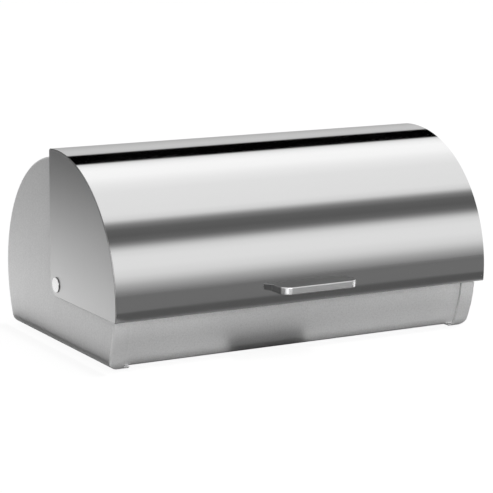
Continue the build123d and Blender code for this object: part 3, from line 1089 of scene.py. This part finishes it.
@dataclass
class Studio:
    """Floor, black strips, surrounding light and one soft lamp.

    The camera sees a plain white floor with the box's shadow, and white around it. The metal mirrors the
    surrounding light, a floor of its own levels, which is a painted reflection with painted shadows and
    glowing painted highlights, and the black strips, which stand in for shade, instead. The values from rise
    to shade are that painted reflection's alone.

    Attributes:
        lamp_place: where the lamp hangs.
        lamp_aim: the point that it faces.
        lamp_size: width of the square lamp.
        lamp_power: in watts.
        spread: how much wider the bands of light stand for each unit of a direction's X.
        spread_from: the angle that they spread from.
        spread_centre: the direction's X at which they keep their width.
        side_band: the direction's X, either way, over which the bands turn to an even level.
        side_level: that level.
        floor_size: width of the round floor.
        floor_tone: its own grey.
        white_share: how far it is whitened where it is seen and not mirrored.
        white_level: the level that it is whitened to.
        rise: how fast the floor grows brighter to the back, as a power of e for each metre.
        fade: how fast it grows darker away from the box's sides.
        half_width: half of the box's width.
        dim_band: distances to the side between which the floor dims.
        dim_power: how the dimming runs over them.
        dim_range: levels after it and before it.
        far_band: distances from the box between which it dims once more.
        far_level: share of its level that is left beyond them.
        shine: how strongly that painted reflection glows.
        shade: how far the rest of it, which takes light and shadow, is darkened.
        cloth_tone: grey of the black strips that stand in for shade.
    """

    lamp_place: tuple[float, float, float] = (0.5, -0.7, 1.9)
    lamp_aim: tuple[float, float, float] = (0.0, 0.0, 0.05)
    lamp_size: float = 1.6
    lamp_power: float = 14.0
    spread: float = 0.15
    spread_from: float = 35.0
    spread_centre: float = 0.43
    side_band: tuple[float, float] = (0.70, 0.93)
    side_level: float = 0.42
    floor_size: float = 12.0
    floor_tone: float = 0.9
    white_share: float = 0.9
    white_level: float = 1.04
    rise: float = 1.10
    fade: float = 2.10
    half_width: float = 0.205
    dim_band: tuple[float, float] = (0.30, 0.76)
    dim_power: float = 1.35
    dim_range: tuple[float, float] = (0.12, 0.95)
    far_band: tuple[float, float] = (0.7, 1.7)
    far_level: float = 0.25
    shine: float = 0.6
    shade: float = 0.45
    cloth_tone: float = 0.01

    def build(self) -> None:
        """Set up the studio."""
        bpy.context.scene.view_settings.view_transform = "Standard"
        self.world()
        self.floor()
        for strip in FLAGS:
            self.flag(strip)
        self.lamp()

    def world(self) -> None:
        """Surround the box with long soft boxes, dark gaps and cards, all white to the camera."""
        world = bpy.data.worlds.new("studio")
        bpy.context.scene.world = world
        world.use_nodes = True
        world.node_tree.nodes.clear()
        bench = Bench(world.node_tree)
        ray = bench.node("ShaderNodeLightPath")
        coordinates = bench.node("ShaderNodeTexCoord")
        direction = bench.node("ShaderNodeSeparateXYZ", Vector=coordinates.outputs["Generated"])
        forward = bench.math("MULTIPLY", direction.outputs["Y"], -1.0)
        angle = bench.math("ARCTAN2", direction.outputs["Z"], forward)
        middle = math.radians(self.spread_from)
        off = bench.math("SUBTRACT", direction.outputs["X"], self.spread_centre)
        wider = bench.math("MULTIPLY_ADD", off, self.spread, 1.0)
        angle = bench.math("DIVIDE", bench.math("SUBTRACT", angle, middle), wider)
        angle = bench.math("ADD", angle, middle)
        turn = bench.math("DIVIDE", bench.math("ADD", angle, math.pi), 2 * math.pi)
        bands = bench.node("ShaderNodeValToRGB", Fac=turn)
        stops = bands.color_ramp.elements
        while len(stops) < len(SURROUND):
            stops.new(0.5)
        for element, stop in zip(stops, SURROUND):
            element.position = (stop.angle + 180) / 360
            element.color = grey(stop.level)
        sideways = bench.ramp(bench.math("ABSOLUTE", direction.outputs["X"]), *self.side_band)
        around = bench.blend(sideways, bands.outputs["Color"], grey(self.side_level))
        bearing = bench.math("DEGREES", bench.math("ARCTAN2", direction.outputs["X"], forward))
        height = bench.math("DEGREES", bench.math("ARCSINE", direction.outputs["Z"]))
        for card in CARDS:
            around = bench.blend(card.mask(bench, bearing, height), around, grey(card.level))
        shown = bench.blend(ray.outputs["Is Camera Ray"], around, WHITE)
        background = bench.node("ShaderNodeBackground", Color=shown, Strength=1.0)
        bench.node("ShaderNodeOutputWorld", Surface=background.outputs[0])

    def floor(self) -> None:
        """Lay a round floor: white to the camera, with the box's shadow, and a painted reflection to the metal."""
        bpy.ops.mesh.primitive_circle_add(vertices=128, radius=self.floor_size / 2, fill_type="NGON")
        floor = bpy.context.object
        floor.name = "floor"
        made = bpy.data.materials.new("pale floor")
        made.use_nodes = True
        made.node_tree.nodes.clear()
        bench = Bench(made.node_tree)
        ray = bench.node("ShaderNodeLightPath")
        tone = self.mirrored_tone(bench)
        seen = bench.math("MAXIMUM", ray.outputs["Is Camera Ray"], ray.outputs["Is Transmission Ray"])
        matt = bench.node("ShaderNodeBsdfDiffuse", Color=grey(self.floor_tone))
        white = bench.node("ShaderNodeEmission", Color=WHITE, Strength=self.white_level)
        # to the metal the floor glows with its painted reflection, though it is no lamp
        glow = bench.node("ShaderNodeEmission", Color=tone, Strength=self.shine)
        shaded = bench.node("ShaderNodeBsdfDiffuse", Color=bench.blend(self.shade, tone, BLACK))
        mirrored = bench.node("ShaderNodeAddShader")
        bench.feed(mirrored.inputs[0], glow.outputs[0])
        bench.feed(mirrored.inputs[1], shaded.outputs[0])
        first = bench.node("ShaderNodeMixShader")
        bench.feed(first.inputs[0], bench.math("MULTIPLY", seen, self.white_share))
        bench.feed(first.inputs[1], matt.outputs[0])
        bench.feed(first.inputs[2], white.outputs[0])
        second = bench.node("ShaderNodeMixShader")
        bench.feed(second.inputs[0], ray.outputs["Is Glossy Ray"])
        bench.feed(second.inputs[1], first.outputs[0])
        bench.feed(second.inputs[2], mirrored.outputs[0])
        bench.node("ShaderNodeOutputMaterial", Surface=second.outputs[0])
        floor.data.materials.append(made)

    def mirrored_tone(self, bench: Bench) -> bpy.types.NodeSocket:
        """Work out the painted reflection that the metal finds at each place on the floor.

        Args:
            bench: the floor's tree.

        Returns:
            The colour's socket.
        """
        coordinates = bench.node("ShaderNodeTexCoord")
        place = bench.node("ShaderNodeSeparateXYZ", Vector=coordinates.outputs["Object"])
        reach = bench.length(place.outputs["X"], place.outputs["Y"])
        aside = bench.math("ABSOLUTE", place.outputs["X"])
        near = bench.node("ShaderNodeMapRange", Value=aside, From_Min=self.dim_band[0],
                          From_Max=self.dim_band[1], To_Min=1.0, To_Max=0.0)
        dimmed = bench.math("POWER", near.outputs["Result"], self.dim_power)
        low, high = self.dim_range
        level = bench.math("MULTIPLY_ADD", dimmed, high - low, low)
        beyond = bench.math("MAXIMUM", bench.math("SUBTRACT", aside, self.half_width), 0.0)
        slope = bench.math("MULTIPLY_ADD", place.outputs["Y"], self.rise,
                           bench.math("MULTIPLY", beyond, -self.fade))
        level = bench.math("MULTIPLY", level, bench.math("EXPONENT", slope))
        level = bench.math("MINIMUM", level, 1.0)
        level = bench.math("MULTIPLY", level, bench.ramp(reach, *self.far_band, 1.0, self.far_level))
        tone = bench.blend(level, BLACK, WHITE)
        # painted reflections: each patch lays its own level, dark ones as painted shadow, glowing ones as painted
        # highlights
        for patch in FLOOR_PAINTED_REFLECTIONS:
            mask = patch.mask(bench, place.outputs["X"], place.outputs["Y"])
            tone = bench.blend(mask, tone, grey(patch.level))
        return tone

    def flag(self, strip: Flag) -> None:
        """Stand a low black strip close to the box to put shade on it, where the camera doesn't see it.

        Args:
            strip: where it stands and how tall.
        """
        (x0, y0), (x1, y1), (lean_x, lean_y) = strip.start, strip.end, strip.lean
        mesh = bpy.data.meshes.new("black flag")
        feet = [(x0, y0, 0.0), (x1, y1, 0.0)]
        tops = [(x + lean_x, y + lean_y, strip.top) for x, y, _ in reversed(feet)]
        mesh.from_pydata(feet + tops, [], [(0, 1, 2, 3)])
        flag = bpy.data.objects.new("black flag", mesh)
        bpy.context.scene.collection.objects.link(flag)
        # a black material for the strips that stand in for shade
        made = bpy.data.materials.new("black cloth")
        made.use_nodes = True
        shader = made.node_tree.nodes["Principled BSDF"]
        shader.inputs["Base Color"].default_value = grey(self.cloth_tone)
        shader.inputs["Roughness"].default_value = 1.0
        mesh.materials.append(made)
        flag.visible_camera = False

    def lamp(self) -> None:
        """Hang one large soft lamp over the front right, out of the metal's reflections."""
        data = bpy.data.lights.new("soft lamp", "AREA")
        data.size = self.lamp_size
        data.energy = self.lamp_power
        lamp = bpy.data.objects.new("soft lamp", data)
        lamp.location = self.lamp_place
        toward = Vector(self.lamp_aim) - lamp.location
        lamp.rotation_euler = toward.to_track_quat("-Z", "Y").to_euler()
        lamp.visible_glossy = False
        bpy.context.scene.collection.objects.link(lamp)


def main() -> None:
    """Build the studio, dress the box and report each piece."""
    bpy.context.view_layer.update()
    Camera().build()
    Studio().build()
    wardrobe = Wardrobe(frame["record"])
    for kind in (CaseShell, Feet, CaseScrews, StopBuffers, PivotSet, RollLid, Handle):
        kind(wardrobe).build()
    bare = sorted(set(frame["nodes"]) - wardrobe.dressed)
    if bare:
        raise ValueError(f"nodes without a finish: {bare}")


if __name__ == "__main__":
    logging.basicConfig(level=logging.INFO, format="%(name)s: %(message)s")
    main()
